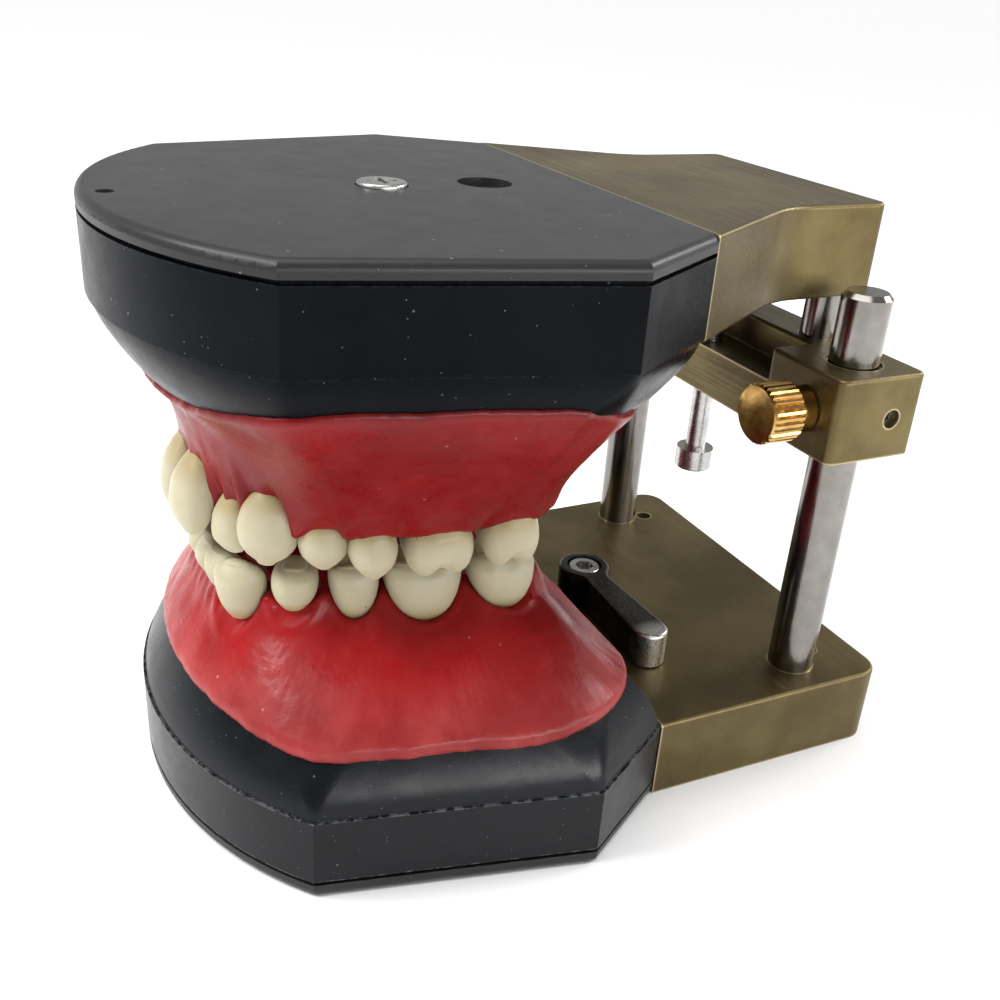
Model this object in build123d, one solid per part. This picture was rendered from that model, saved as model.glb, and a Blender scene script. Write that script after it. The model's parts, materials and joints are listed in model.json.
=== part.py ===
from build123d import *
import math
import os

# Typodont model on a small brass articulator.
# +Z is up, the front teeth face -Y, the patient's left side is +X.
# The origin is the middle of the whole model's footprint, on the surface it stands on.
# All sizes are in millimetres.

# ---- jaw trays ----
JOINT_Y = 10.2            # plane where the upper tray meets the upper arm
JAW_SET_BACK = 2.4        # the lower tray sits this much behind the upper one
TRAY_LENGTH = 60.5        # joint face to the front of a tray
TRAY_FRONT_CORNER = (31.5, 47.7)    # half width and distance ahead of the joint face
TRAY_WIDEST = (39.1, 13.7)
TRAY_JOINT_HALF = 30.5    # half width at the joint face
TRAY_WALL = 11.2          # outer face of the plate to the ridge round the wall
PLATE_THICK = 1.8
PLATE_EDGE_R = 1.1
GAP_DEPTH = 0.6           # shadow gap between a plate and its tray
GAP_HEIGHT = 0.5
# shoulder of a tray: height above the ridge, inset, corner radius
SHOULDER = [
    (0.0, 0.3, 2.0),
    (2.6, 1.2, 5.0),
    (5.4, 2.9, 10.0),
    (8.1, 5.0, 16.0),
    (9.4, 7.0, 20.0),
]
WEB_TOP = 10.6            # floor of the wax pocket above the plate's outer face
POCKET_INSET = 10.0
TOP_Z = 75.9              # outer face of the lid and top of the arm

# ---- tongues ----
TONGUE_WIDTH = 22.0
TONGUE_THICK = 4.0
TONGUE_LOW = 4.0          # plate's outer face to the tongue
TONGUE_IN_TRAY = 19.0
TONGUE_IN_METAL = 16.0
TONGUE_GAP = 0.2
TONGUE_SCREW_X = 7.5
TONGUE_SCREW_INSET = 6.0

# ---- holes and screws of the plates ----
PLATE_SCREW_Y = 26.6      # ahead of the joint face
ACCESS_HOLE_Y = 13.3
ACCESS_HOLE_R = 3.4
FRONT_PIN_Y = 57.6
M3_R = 1.5
SCREW_HEAD_R = 3.0
SCREW_HEAD_HIGH = 0.9
LID_HEAD_PROUD = 0.5      # how far the lid screw's head stands above the lid
BOTTOM_HEAD_SUNK = 0.1    # how far the same head is sunk below the bottom plate

# ---- base plate, posts and lever ----
REAR_Y = 50.6
BASE_THICK = 11.4
BASE_FRONT_HALF = 30.7
BASE_REAR_HALF = 31.2
BRASS_EDGE = 0.5
POST_X = 24.5
POST_Y = 38.7
POST_R = 3.2
POST_TOP = 66.5
POST_SEAT_Z = 2.0
LOCK_X = 22.9
LOCK_Y = 43.4
LEVER_X = -2.5
LEVER_Y = 18.9
LEVER_REACH = 19.0
LEVER_LOW = 11.6
LEVER_THICK = 5.2
LEVER_HEAD_R = 3.9
LEVER_TIP_R = 2.6
LEVER_NECK_HALF = 1.7      # half width of the arm beside the head
CAM_R = 4.2
CAM_LOW = 8.25
RUN = 0.05                # radial clearance of a running fit

# ---- carriage ----
CARRIAGE_HALF = 30.6
CARRIAGE_FRONT = 31.8
CARRIAGE_REAR = 45.6
CARRIAGE_LOW = 46.2
BLOCK_TOP = 57.3
BLOCK_INNER = 16.5
LEDGE_TOP = 52.9
BAR_FRONT = 38.4
PILLAR_X = 13.5
PILLAR_Y = 42.0
PILLAR_R = 2.4
KNOB_Z = 51.75
KNOB_R = 3.9
KNOB_LONG = 4.9
COLLAR_R = 3.0
KNURLS = 30
SMALL_SCREW_R = 1.25
SIDE_SCREW_Y = 41.0
SIDE_SCREW_Z = 51.5
SIDE_SCREW_LONG = 1.6       # left deep in its hole

# ---- upper arm and stop screw ----
ARM_LOW = 64.0
ARM_REAR = 45.1
ARM_REAR_HALF = 18.6
ARM_WAIST_Y = 29.1
ARM_WAIST_R = 12.0
STOP_Y = 34.8
STOP_HEAD_LOW = 32.7
STOP_HEAD_LONG = 3.2
STOP_HEAD_R = 2.75

# ---- bite ----
# height, half width, front, start of the straight sides, rear
LOWER_WAX = [
    (17.5, 31.4, -42.9, -8.0, 8.6),
    (19.5, 30.6, -42.6, -8.0, 8.2),
    (22.0, 27.6, -41.4, -10.0, 7.0),
    (25.0, 24.4, -40.4, -14.0, 5.0),
    (29.0, 22.2, -40.0, -18.0, 1.5),
]
LOWER_CREST = 29.0
LOWER_ROOM = (9.5, -27.0, 21.5)     # room for the tongue: half width, front, floor
# the same for the upper wax, measured from the lid's outer face
UPPER_WAX = [
    (16.0, 34.6, -46.0, -14.0, 6.6),
    (18.0, 33.4, -45.4, -14.0, 5.6),
    (22.0, 28.8, -43.4, -16.0, 3.6),
    (27.0, 25.2, -41.4, -18.0, 1.6),
    (31.5, 23.4, -40.6, -19.0, 0.6),
    (35.0, 22.8, -40.4, -19.0, 0.0),
]
UPPER_CREST = 35.0
UPPER_ROOM = (10.5, -30.0, 25.5)

# name: buccal x and y at the biting edge, width, depth, turn and lean in degrees, gum and tip height
UPPER_TEETH = {
    "central_incisor": (4.0, -45.5, 6.1, 6.0, 10, 15, 45.8, 36.0),
    "lateral_incisor": (10.1, -40.4, 4.2, 4.2, 24, 12, 42.1, 35.6),
    "canine": (16.4, -36.9, 6.2, 5.8, 52, 14, 44.6, 35.7),
    "first_premolar": (19.3, -29.6, 5.2, 6.8, 76, 5, 41.6, 35.4),
    "second_premolar": (22.0, -24.1, 5.2, 7.2, 84, 4, 41.3, 35.2),
    "first_molar": (23.3, -16.3, 8.3, 9.0, 84, 0, 41.3, 35.2),
    "second_molar": (24.2, -7.6, 7.2, 8.8, 86, 0, 42.0, 35.2),
}
LOWER_TEETH = {
    "central_incisor": (2.3, -41.4, 3.8, 5.0, 6, 12, 29.5, 33.9),
    "lateral_incisor": (6.8, -41.0, 3.4, 4.8, 22, 12, 29.3, 34.3),
    "canine": (12.7, -39.1, 4.8, 5.8, 48, 10, 27.8, 34.7),
    "first_premolar": (16.1, -32.8, 5.2, 6.6, 66, 5, 29.3, 34.8),
    "second_premolar": (17.7, -25.3, 5.8, 7.0, 80, 4, 27.6, 34.9),
    "first_molar": (19.7, -16.9, 9.4, 8.4, 84, 0, 27.2, 34.9),
    "second_molar": (20.9, -7.1, 8.8, 8.2, 86, 0, 27.4, 34.9),
}
INCISORS = ("central_incisor", "lateral_incisor")
MOLARS = ("first_molar", "second_molar")
ROOT_LONG = 8.0


# ---- small helpers ----
def save(name, shape):
    """Write one node, named after the piece."""
    shape.label = name
    export_step(shape, "parts/" + name + ".step")


def rod(x, y, low, high, radius):
    """Upright cylinder from low to high."""
    return Pos(x, y, low) * Cylinder(radius, high - low, align=(Align.CENTER, Align.CENTER, Align.MIN))


def rod_along(axis_plane, point, length, radius):
    """Cylinder that starts at a point and runs along a plane's normal."""
    plane = Plane(origin=point, z_dir=axis_plane.z_dir)
    return plane * Cylinder(radius, length, align=(Align.CENTER, Align.CENTER, Align.MIN))


def block(x0, x1, y0, y1, z0, z1):
    """Box between two corners."""
    lengths = (x1 - x0, y1 - y0, z1 - z0)
    return Pos(x0, y0, z0) * Box(*lengths, align=(Align.MIN, Align.MIN, Align.MIN))


def flip_to_upper(shape):
    """Turn a piece made for the lower tray over, so that its outer face is the model's top."""
    return Pos(0, 0, TOP_Z) * mirror(shape, about=Plane.XY)


# ---- jaw trays, modelled lying on their plate with the joint face at y = 0 ----
def tray_outline(inset=0.0, corner_r=0.0):
    """Plan of a tray: round front, straight sides, rear chamfers; corner_r rounds its corners."""
    corner_x, corner_y = TRAY_FRONT_CORNER
    widest_x, widest_y = TRAY_WIDEST
    right = Line((TRAY_JOINT_HALF, 0), (widest_x, -widest_y))
    right_side = Line((widest_x, -widest_y), (corner_x, -corner_y))
    front = ThreePointArc((corner_x, -corner_y), (0, -TRAY_LENGTH), (-corner_x, -corner_y))
    left_side = Line((-corner_x, -corner_y), (-widest_x, -widest_y))
    left = Line((-widest_x, -widest_y), (-TRAY_JOINT_HALF, 0))
    back = Line((-TRAY_JOINT_HALF, 0), (TRAY_JOINT_HALF, 0))
    face = make_face([right, right_side, front, left_side, left, back])
    if inset > 0:
        face = offset(face, amount=-inset, kind=Kind.INTERSECTION)
    if corner_r > 0:
        corners = face.vertices().filter_by(lambda v: v.Y < -inset - 1)
        face = fillet(corners, corner_r)
    return face


def slab(face, low, high):
    """Prism of a plan outline between two heights."""
    return extrude(Pos(0, 0, low) * face, high - low)


def tongue_block(grow=0.0):
    """The part of a tongue that lies inside its tray."""
    half = TONGUE_WIDTH / 2 + grow
    low = TONGUE_LOW - grow
    return block(-half, half, -TONGUE_IN_TRAY - grow, 0, low, TONGUE_LOW + TONGUE_THICK + grow)


def plate(seat_depth):
    """Cover plate with a rounded outer edge, a screw seat, an access hole and a front pin hole."""
    body = slab(tray_outline(), 0, PLATE_THICK)
    outer_edges = body.edges().filter_by(lambda e: e.center().Z < 0.01 and e.center().Y < -0.5)
    body = fillet(outer_edges, PLATE_EDGE_R)
    body -= rod(0, -PLATE_SCREW_Y, -1, PLATE_THICK + 1, M3_R + 0.1)
    body -= rod(0, -PLATE_SCREW_Y, -1, seat_depth, SCREW_HEAD_R + 0.15)
    body -= rod(0, -ACCESS_HOLE_Y, -1, PLATE_THICK + 1, ACCESS_HOLE_R)
    body -= rod(0, -FRONT_PIN_Y, -1, PLATE_THICK + 1, 1.0)
    return body


def tray():
    """Tray body: wall, rounded shoulder, wax pocket and the slot for the tongue."""
    body = slab(tray_outline(GAP_DEPTH), PLATE_THICK, PLATE_THICK + GAP_HEIGHT)
    body += slab(tray_outline(), PLATE_THICK + GAP_HEIGHT, TRAY_WALL)
    rings = []
    for rise, inset, corner_r in SHOULDER:
        rings.append(Pos(0, 0, TRAY_WALL + rise) * tray_outline(inset, corner_r))
    body += loft(rings)
    top = TRAY_WALL + SHOULDER[-1][0]
    body -= slab(tray_outline(POCKET_INSET), WEB_TOP, top + 1)
    body -= tongue_block(TONGUE_GAP)
    body -= rod(0, -PLATE_SCREW_Y, 0, WEB_TOP - 1.5, M3_R)
    body -= rod(0, -ACCESS_HOLE_Y, 0, TONGUE_LOW, ACCESS_HOLE_R)
    body -= rod(0, -FRONT_PIN_Y, 0, 5.5, 1.0)
    for side in (-1, 1):
        body -= rod(side * TONGUE_SCREW_X, -TONGUE_SCREW_INSET, 0, TONGUE_LOW, 2.6)
    return body


def plate_screw(head_low):
    """Pan-head screw with a cross recess; the head stands at head_low."""
    seat = head_low + SCREW_HEAD_HIGH
    head = rod(0, -PLATE_SCREW_Y, head_low, seat, SCREW_HEAD_R)
    head = fillet(head.edges().group_by(Axis.Z)[0], 0.4)
    for turn in (0, 90):
        head -= Pos(0, -PLATE_SCREW_Y, head_low) * Rot(0, 0, turn) * Box(3.6, 0.7, 1.1)
    return head + rod(0, -PLATE_SCREW_Y, seat, WEB_TOP - 2.0, M3_R)


def socket_screw(x, y, head_low, head_high, tip_high, head_r, shank_r, across):
    """Cap screw with its head down and its shank up, and a hexagon socket in the head."""
    screw = rod(x, y, head_low, head_high, head_r)
    screw = chamfer(screw.edges().group_by(Axis.Z)[0], 0.25)
    screw += rod(x, y, head_high, tip_high, shank_r)
    socket = Pos(x, y, head_low) * RegularPolygon(across / math.sqrt(3), 6)
    return screw - extrude(socket, 0.6 * (head_high - head_low))


def tongue_screws():
    """Two cap screws that hold a tongue in its tray, under the plate."""
    screws = []
    for side in (-1, 1):
        place = (side * TONGUE_SCREW_X, -TONGUE_SCREW_INSET)
        screws.append(socket_screw(*place, PLATE_THICK + 0.1, TONGUE_LOW, TONGUE_LOW + 3.5, 2.5, M3_R, 2.5))
    return Compound(screws)


def tongue(length_behind):
    """Flat bar that lies in the tray's slot and reaches back into the metal part."""
    half = TONGUE_WIDTH / 2
    bar = block(-half, half, -TONGUE_IN_TRAY, length_behind, TONGUE_LOW, TONGUE_LOW + TONGUE_THICK)
    bar = chamfer(bar.edges().filter_by(Axis.Z), 1.0)
    for side in (-1, 1):
        bar -= rod(side * TONGUE_SCREW_X, -TONGUE_SCREW_INSET, 0, TONGUE_LOW + 3.5, M3_R)
    return bar - rod(0, -ACCESS_HOLE_Y, 0, TONGUE_LOW + TONGUE_THICK + 1, M3_R)


# ---- wax forms, modelled with the teeth pointing up ----
def egg(half, front, middle, rear, corner=4.0):
    """Plan of the wax at one height: round in front, straight beside the molars, blunt behind."""
    turn = EllipticalCenterArc((0, middle), half, middle - front, start_angle=180, arc_size=180)
    right = Line((half, middle), (half, rear - corner))
    left = Line((-half, rear - corner), (-half, middle))
    slope = corner * (1 - math.sqrt(0.5))
    right_turn = ThreePointArc((half, rear - corner), (half - slope, rear - slope), (half - corner, rear))
    left_turn = ThreePointArc((corner - half, rear), (slope - half, rear - slope), (-half, rear - corner))
    back = Line((half - corner, rear), (corner - half, rear))
    return make_face([turn, right, right_turn, back, left_turn, left])


def wax(sections, crest, room_plan, joint_y):
    """Wax hill on its tray, with the room inside the arch cut out and open to the rear."""
    room_half, room_front, room_floor = room_plan
    hill = loft([Pos(0, 0, z) * egg(*plan) for z, *plan in sections])
    pocket = slab(tray_outline(POCKET_INSET), WEB_TOP, sections[0][0] + 0.5)
    hill += Pos(0, joint_y, 0) * pocket
    room = egg(room_half, room_front, room_front + room_half, joint_y + 5, 1.0)
    return hill - extrude(Pos(0, 0, room_floor) * room, crest - room_floor + 1)


# ---- teeth ----
def tooth(kind, buccal_x, buccal_y, width, depth, turn, lean, gum_z, tip_z):
    """Resin tooth whose biting edge is at tip_z and whose root leans inwards, for either jaw."""
    way = 1 if tip_z > gum_z else -1
    tall = abs(tip_z - gum_z)
    top_depth = 0.16 if kind in INCISORS else 0.30
    top_width = 0.36 if kind in MOLARS else 0.30
    rings = [
        (-ROOT_LONG, 0.16, 0.16),
        (-0.45 * ROOT_LONG, 0.31, 0.32),
        (0.0, 0.40, 0.42),
        (0.45 * tall, 0.49, 0.49),
        (0.82 * tall, 0.45, 0.40 if kind not in INCISORS else 0.30),
        (tall, top_width, top_depth),
    ]
    sections = []
    for z, wide, deep in rings:
        sections.append(Pos(0, 0, way * (z - tall)) * Ellipse(wide * width, deep * depth))
    body = loft(sections)
    inward = (-math.sin(math.radians(turn)), math.cos(math.radians(turn)))
    centre_x = buccal_x + inward[0] * depth / 2
    centre_y = buccal_y + inward[1] * depth / 2
    return Pos(centre_x, centre_y, tip_z) * Rot(0, 0, turn) * Rot(way * lean, 0, 0) * body


def teeth(jaw, table):
    """Both sides of one jaw's teeth, by name."""
    made = {}
    for kind, form in table.items():
        left = tooth(kind, *form)
        made[jaw + "_left_" + kind] = left
        made[jaw + "_right_" + kind] = mirror(left, about=Plane.YZ)
    return made


# ---- base ----
def base_plate():
    """Thick brass plate with the slot for the tongue, the lever's pocket and the post seats."""
    front = JOINT_Y + JAW_SET_BACK
    plan = Polyline(
        (-BASE_FRONT_HALF, front),
        (BASE_FRONT_HALF, front),
        (BASE_REAR_HALF, REAR_Y),
        (-BASE_REAR_HALF, REAR_Y),
        close=True,
    )
    body = extrude(make_face(plan), BASE_THICK)
    rear_corners = body.edges().filter_by(Axis.Z).group_by(Axis.Y)[-1]
    body = fillet(rear_corners, 3.5)
    top_edges = body.edges().group_by(Axis.Z)[-1].filter_by(lambda e: e.center().Y > front + 0.1)
    body = fillet(top_edges, BRASS_EDGE)
    half = TONGUE_WIDTH / 2 + TONGUE_GAP
    low = TONGUE_LOW - TONGUE_GAP
    high = TONGUE_LOW + TONGUE_THICK + TONGUE_GAP
    body -= block(-half, half, front - 1, front + TONGUE_IN_METAL + 1, low, high)
    body -= rod(LEVER_X, LEVER_Y, high - 1, BASE_THICK + 1, CAM_R + 0.3)
    body -= rod(LEVER_X, LEVER_Y, 1.5, BASE_THICK, M3_R)
    for side in (-1, 1):
        body -= rod(side * POST_X, POST_Y, POST_SEAT_Z, BASE_THICK + 1, POST_R)
        body -= rod(side * LOCK_X, LOCK_Y, BASE_THICK - 6, BASE_THICK + 1, SMALL_SCREW_R)
    return body


def post(side):
    """Steel post pressed into the base, with a chamfered top."""
    body = rod(side * POST_X, POST_Y, POST_SEAT_Z, POST_TOP, POST_R)
    return chamfer(body.edges().group_by(Axis.Z)[-1], 0.6)


def grub(length, radius):
    """Headless screw along +Z from the origin, with a hexagon socket at the top."""
    body = rod(0, 0, 0, length, radius)
    return body - extrude(Pos(0, 0, length - 1.2) * RegularPolygon(0.75, 6), 1.3)


def post_lock_screws():
    """Small screws in the base beside the posts."""
    screw = grub(5.0, SMALL_SCREW_R)
    return Compound([Pos(side * LOCK_X, LOCK_Y, BASE_THICK - 6) * screw for side in (-1, 1)])


def lever_screw():
    """Cap screw the lever turns on, threaded into the floor of the base plate."""
    top = LEVER_LOW + LEVER_THICK
    upside_down = socket_screw(0, 0, 0, 2.6, top - 2.0, 2.5, M3_R, 2.5)
    screw = Pos(0, 0, top - 0.2) * mirror(upside_down, about=Plane.XY)
    return Pos(LEVER_X, LEVER_Y, 0) * screw


def lock_lever():
    """Lever with a round head, a narrow neck and a rounded tip, and a cam boss under the head."""
    top = LEVER_LOW + LEVER_THICK
    head = Circle(LEVER_HEAD_R)
    tip = Pos(LEVER_REACH, 0) * Circle(LEVER_TIP_R)
    start = LEVER_HEAD_R - 2.4
    edge = Polyline(
        (start, -LEVER_NECK_HALF),
        (LEVER_REACH, -LEVER_TIP_R),
        (LEVER_REACH, LEVER_TIP_R),
        (start, LEVER_NECK_HALF),
        close=True,
    )
    arm = make_face(edge)
    plan = head + arm + tip
    body = extrude(plan, LEVER_THICK)
    neck = body.edges().filter_by(Axis.Z).filter_by(lambda e: 1 < e.center().X < 6)
    body = fillet(neck, 3.0)
    body = fillet(body.edges().group_by(Axis.Z)[-1], 0.5)
    body = Pos(0, 0, LEVER_LOW) * body + rod(0, 0, CAM_LOW, LEVER_LOW, CAM_R)
    body -= rod(0, 0, 0, top + 1, M3_R + RUN)
    body -= rod(0, 0, top - 3.0, top + 1, 2.5 + 0.2)
    return Pos(LEVER_X, LEVER_Y, 0) * body


# ---- carriage ----
def carriage():
    """Brass bridge: an end block round each post, a low ledge in front and a raised bar behind."""
    body = block(-CARRIAGE_HALF, CARRIAGE_HALF, CARRIAGE_FRONT, CARRIAGE_REAR, CARRIAGE_LOW, BLOCK_TOP)
    body = fillet(body.edges().filter_by(Axis.Z), 1.2)
    body -= block(-BLOCK_INNER, BLOCK_INNER, CARRIAGE_FRONT - 1, BAR_FRONT, LEDGE_TOP, BLOCK_TOP + 1)
    inner = body.edges().filter_by(Axis.Z).filter_by(
        lambda e: abs(abs(e.center().X) - BLOCK_INNER) < 0.1 and e.center().Y < CARRIAGE_FRONT + 0.1
    )
    body = fillet(inner, 1.0)
    body = fillet(body.edges().group_by(Axis.Z)[-1], BRASS_EDGE)
    for side in (-1, 1):
        body -= rod(side * POST_X, POST_Y, CARRIAGE_LOW - 1, BLOCK_TOP + 1, POST_R + RUN)
        body -= rod(side * POST_X, POST_Y, BLOCK_TOP - 0.5, BLOCK_TOP + 1, POST_R + 0.4)
        body -= rod(side * PILLAR_X, PILLAR_Y, CARRIAGE_LOW - 1, BLOCK_TOP + 1, PILLAR_R + RUN)
        bore_long = POST_Y - CARRIAGE_FRONT + 1
        body -= rod_along(Plane.XZ, (side * POST_X, POST_Y, KNOB_Z), bore_long, M3_R + RUN)
        side_plane = Plane.YZ if side > 0 else Plane.YZ.rotated((0, 180, 0))
        body -= rod_along(side_plane, (side * (POST_X + 1.0), SIDE_SCREW_Y, SIDE_SCREW_Z), 8, SMALL_SCREW_R)
    return body - rod(0, STOP_Y, CARRIAGE_LOW - 1, LEDGE_TOP + 1, M3_R + 0.3)


def side_lock_screws():
    """Headless screws in the outer sides of the end blocks, sunk below the surface."""
    start = POST_X + POST_R + 0.15
    screw = grub(SIDE_SCREW_LONG, SMALL_SCREW_R)
    left = Pos(start, SIDE_SCREW_Y, SIDE_SCREW_Z) * Rot(0, 90, 0) * screw
    return Compound([left, mirror(left, about=Plane.YZ)])


def thumb_screw(side):
    """Knurled brass knob with a collar and a threaded shank that bears on the post."""
    front = CARRIAGE_FRONT - 0.2
    collar_long = front - KNOB_LONG - (JOINT_Y + 14.1)
    knob = Cylinder(KNOB_R, KNOB_LONG, align=(Align.CENTER, Align.CENTER, Align.MIN))
    knob = chamfer(knob.edges().filter_by(GeomType.CIRCLE), 0.35)
    groove = Pos(KNOB_R + 0.12, 0, 0) * Rot(0, 0, 45) * Box(0.5, 0.5, 3 * KNOB_LONG)
    for step in range(KNURLS):
        knob -= Rot(0, 0, 360 * step / KNURLS) * groove
    knob += rod(0, 0, KNOB_LONG, KNOB_LONG + collar_long, COLLAR_R)
    reach = POST_Y - POST_R - 0.15 - front + KNOB_LONG + collar_long
    knob += rod(0, 0, KNOB_LONG, reach, M3_R)
    face_y = front - KNOB_LONG - collar_long
    return Pos(side * POST_X, face_y, KNOB_Z) * Rot(-90, 0, 0) * knob


# ---- upper arm ----
def upper_arm():
    """Brass arm: as wide as the tray in front, waisted to a narrow block over the carriage."""
    waist = (ARM_REAR_HALF, ARM_WAIST_Y)
    flank = [(TRAY_JOINT_HALF, JOINT_Y), waist, (ARM_REAR_HALF, ARM_REAR)]
    mirrored = [(-x, y) for x, y in reversed(flank)]
    plan = make_face(Polyline(*flank, *mirrored, close=True))
    body = Pos(0, 0, ARM_LOW) * extrude(plan, TOP_Z - ARM_LOW)
    waists = body.edges().filter_by(Axis.Z).filter_by(lambda e: abs(e.center().Y - ARM_WAIST_Y) < 0.1)
    body = fillet(waists, ARM_WAIST_R)
    rear = body.edges().filter_by(Axis.Z).group_by(Axis.Y)[-1]
    body = fillet(rear, 1.5)
    rims = body.edges().group_by(Axis.Z)[-1] + body.edges().group_by(Axis.Z)[0]
    body = fillet(rims.filter_by(lambda e: e.center().Y > JOINT_Y + 0.1), BRASS_EDGE)
    high = TOP_Z - TONGUE_LOW
    half = TONGUE_WIDTH / 2
    body -= block(-half, half, JOINT_Y - 1, JOINT_Y + TONGUE_IN_METAL, high - TONGUE_THICK, high)
    body -= rod(0, STOP_Y, ARM_LOW - 1, ARM_LOW + 6, M3_R + RUN)
    for side in (-1, 1):
        body -= rod(side * PILLAR_X, PILLAR_Y, ARM_LOW - 1, ARM_LOW + 7, PILLAR_R)
    return body


def guide_pillar(side):
    """Steel pillar fixed in the arm that slides in the carriage's rear bar."""
    body = rod(side * PILLAR_X, PILLAR_Y, CARRIAGE_LOW + 0.1, ARM_LOW + 7, PILLAR_R)
    return chamfer(body.edges().group_by(Axis.Z)[0], 0.4)


def stop_screw():
    """Cap screw that hangs from the arm through the ledge; its head ends the lift."""
    head_high = STOP_HEAD_LOW + STOP_HEAD_LONG
    return socket_screw(0, STOP_Y, STOP_HEAD_LOW, head_high, ARM_LOW + 5.5, STOP_HEAD_R, M3_R, 2.5)


# ---- build and write ----
os.makedirs("parts", exist_ok=True)
lower_place = Pos(0, JOINT_Y + JAW_SET_BACK, 0)
upper_place = Pos(0, JOINT_Y, 0)

lower_tongue = tongue(TONGUE_IN_METAL)
fork_front = LEVER_Y - JOINT_Y - JAW_SET_BACK - 2.0
lower_tongue -= block(LEVER_X - 2.0, LEVER_X + 2.0, fork_front, TONGUE_IN_METAL + 1, 0, 20)
lower_tray = lower_place * tray()
lower_teeth = teeth("lower", LOWER_TEETH)
lower_wax = wax(LOWER_WAX, LOWER_CREST, LOWER_ROOM, JOINT_Y + JAW_SET_BACK)
lower_wax -= lower_tray
for piece in lower_teeth.values():
    lower_wax -= piece

upper_tray = upper_place * flip_to_upper(tray())
upper_teeth = teeth("upper", UPPER_TEETH)
upper_wax = flip_to_upper(wax(UPPER_WAX, UPPER_CREST, UPPER_ROOM, JOINT_Y))
upper_wax -= upper_tray
for piece in upper_teeth.values():
    upper_wax -= piece

nodes = {
    "base_plate": base_plate(),
    "post_left": post(1),
    "post_right": post(-1),
    "post_lock_screws": post_lock_screws(),
    "lever_screw": lever_screw(),
    "lock_lever": lock_lever(),
    "lower_tray": lower_tray,
    "lower_bottom_plate": lower_place * plate(BOTTOM_HEAD_SUNK + SCREW_HEAD_HIGH),
    "lower_plate_screw": lower_place * plate_screw(BOTTOM_HEAD_SUNK),
    "lower_tongue": lower_place * lower_tongue,
    "lower_tongue_screws": lower_place * tongue_screws(),
    "lower_wax": lower_wax,
    "carriage": carriage(),
    "side_lock_screws": side_lock_screws(),
    "thumb_screw_left": thumb_screw(1),
    "thumb_screw_right": thumb_screw(-1),
    "upper_arm": upper_arm(),
    "guide_pillar_left": guide_pillar(1),
    "guide_pillar_right": guide_pillar(-1),
    "upper_tongue": upper_place * flip_to_upper(tongue(TONGUE_IN_METAL)),
    "upper_tongue_screws": upper_place * flip_to_upper(tongue_screws()),
    "upper_tray": upper_tray,
    "upper_lid": upper_place * flip_to_upper(plate(SCREW_HEAD_HIGH - LID_HEAD_PROUD)),
    "lid_screw": upper_place * flip_to_upper(plate_screw(-LID_HEAD_PROUD)),
    "lid_front_pin": upper_place * flip_to_upper(rod(0, -FRONT_PIN_Y, 0.4, 5.0, 1.0)),
    "jaw_clamp_screw": upper_place
    * flip_to_upper(socket_screw(0, -ACCESS_HOLE_Y, 1.2, TONGUE_LOW, TONGUE_LOW + 3.5, 2.9, M3_R, 2.5)),
    "upper_wax": upper_wax,
    "stop_screw": stop_screw(),
}
nodes.update(lower_teeth)
nodes.update(upper_teeth)

for name, shape in nodes.items():
    save(name, shape)
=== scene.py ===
import json
import math

import bpy
import numpy as np
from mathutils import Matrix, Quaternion, Vector, noise
from mathutils.bvhtree import BVHTree


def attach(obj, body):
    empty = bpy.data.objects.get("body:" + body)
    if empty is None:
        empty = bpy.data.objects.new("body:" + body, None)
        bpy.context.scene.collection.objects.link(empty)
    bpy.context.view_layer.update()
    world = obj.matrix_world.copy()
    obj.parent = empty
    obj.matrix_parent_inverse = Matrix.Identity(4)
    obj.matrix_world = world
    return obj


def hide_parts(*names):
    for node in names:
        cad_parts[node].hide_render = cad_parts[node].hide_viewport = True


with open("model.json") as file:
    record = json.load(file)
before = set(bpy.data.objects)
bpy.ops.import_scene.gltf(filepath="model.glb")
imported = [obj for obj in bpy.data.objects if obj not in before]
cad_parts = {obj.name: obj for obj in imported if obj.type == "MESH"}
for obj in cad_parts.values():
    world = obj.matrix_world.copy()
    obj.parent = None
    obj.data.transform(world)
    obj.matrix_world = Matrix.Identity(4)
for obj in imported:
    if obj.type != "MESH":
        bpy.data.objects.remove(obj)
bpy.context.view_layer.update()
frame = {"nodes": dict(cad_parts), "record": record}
MM = 0.001


# ---------------------------------------------------------------- camera, floor and lights
CAMERA_PLACE = Vector((0.12427, -0.06185, 0.10022))
CAMERA_TARGET = Vector((0.00287, 0.00058, 0.03333))
CAMERA_ROLL = math.radians(3.99)
LENS = 39.46
SENSOR = 36.0
SKY = 0.42
SUN = 2.1


def add_camera():
    data = bpy.data.cameras.new("camera")
    data.lens = LENS
    data.sensor_width = SENSOR
    data.clip_start = 0.01
    camera = bpy.data.objects.new("camera", data)
    bpy.context.scene.collection.objects.link(camera)
    aim = (CAMERA_TARGET - CAMERA_PLACE).to_track_quat("-Z", "Y")
    camera.location = CAMERA_PLACE
    camera.rotation_mode = "QUATERNION"
    camera.rotation_quaternion = aim @ Quaternion((0, 0, 1), CAMERA_ROLL)
    bpy.context.scene.camera = camera


def area_light(name, place, aim, size, watts, sheen_only=False):
    data = bpy.data.lights.new(name, "AREA")
    data.shape = "RECTANGLE"
    data.size, data.size_y = size
    data.energy = watts
    light = bpy.data.objects.new(name, data)
    light.location = place
    light.rotation_euler = (Vector(aim) - Vector(place)).to_track_quat("-Z", "Y").to_euler()
    light.visible_diffuse = not sheen_only
    bpy.context.scene.collection.objects.link(light)


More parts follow.
